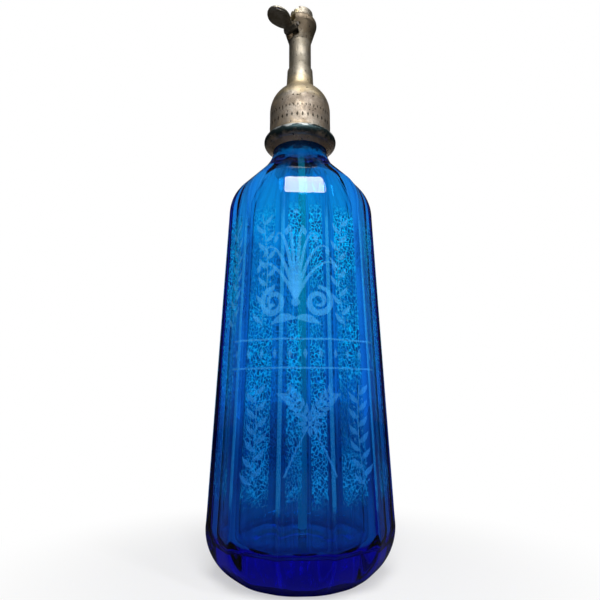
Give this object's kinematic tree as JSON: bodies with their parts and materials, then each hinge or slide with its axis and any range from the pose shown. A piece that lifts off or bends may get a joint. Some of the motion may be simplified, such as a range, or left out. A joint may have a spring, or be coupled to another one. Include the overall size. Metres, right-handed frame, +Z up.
{
  "type": "soda siphon",
  "caption": "Antique soda siphon: a tall panelled blue glass bottle with a tarnished pewter lever valve, bell-shaped cap, collar and curved spout for drawing soda water.",
  "frame": {"origin": "centre of the foot, on the plane the bottle stands on", "axes": "+Z up along the bottle's axis, +Y towards the spout, lever towards -X and -Y"},
  "size_m": [0.099, 0.099, 0.3355],
  "materials": {
    "blue_glass": "polished, acid etched",
    "pale_glass": "polished",
    "pewter": "tarnished pewter",
    "dark_brass": "dark patina",
    "brass": "dull",
    "steel": "dull",
    "black_rubber": "matt",
    "brown_leather": "greased"
  },
  "bodies": {
    "root": {"glass_bottle": "blue_glass", "neck_gasket": "black_rubber", "collar_half_front": "dark_brass", "collar_half_back": "dark_brass", "bell": "pewter", "valve_body": "pewter", "spout": "pewter", "spout_washer": "brown_leather", "lever_pin": "steel", "valve_spring": "steel", "top_plug": "brass", "dip_tube": "pale_glass", "tube_nut": "brass", "tube_ring": "black_rubber"},
    "lever": {"lever": "pewter"},
    "piston": {"valve_piston": "brass", "valve_washer": "black_rubber", "washer_screw": "brass", "piston_seal": "brown_leather"}
  },
  "joints": [
    {"name": "lever_press", "type": "hinge", "parent": "root", "child": "lever", "pos_m": [-0.00537, -0.00537, 0.32152], "axis": [0.7071, -0.7071, 0], "range_deg": [0, 14], "stiffness_Nm_per_rad": 0.0004, "springref_deg": -34.38},
    {"name": "valve_lift", "type": "slide", "parent": "root", "child": "piston", "axis": [0, 0, 1], "range_m": [0, 0.00186], "stiffness_N_per_m": 60, "springref_m": -0.003, "deforming": ["valve_spring"]}
  ],
  "couplings": [
    {"joint": "lever_press", "follows": "valve_lift", "rad_per_m": 131.58}
  ]
}
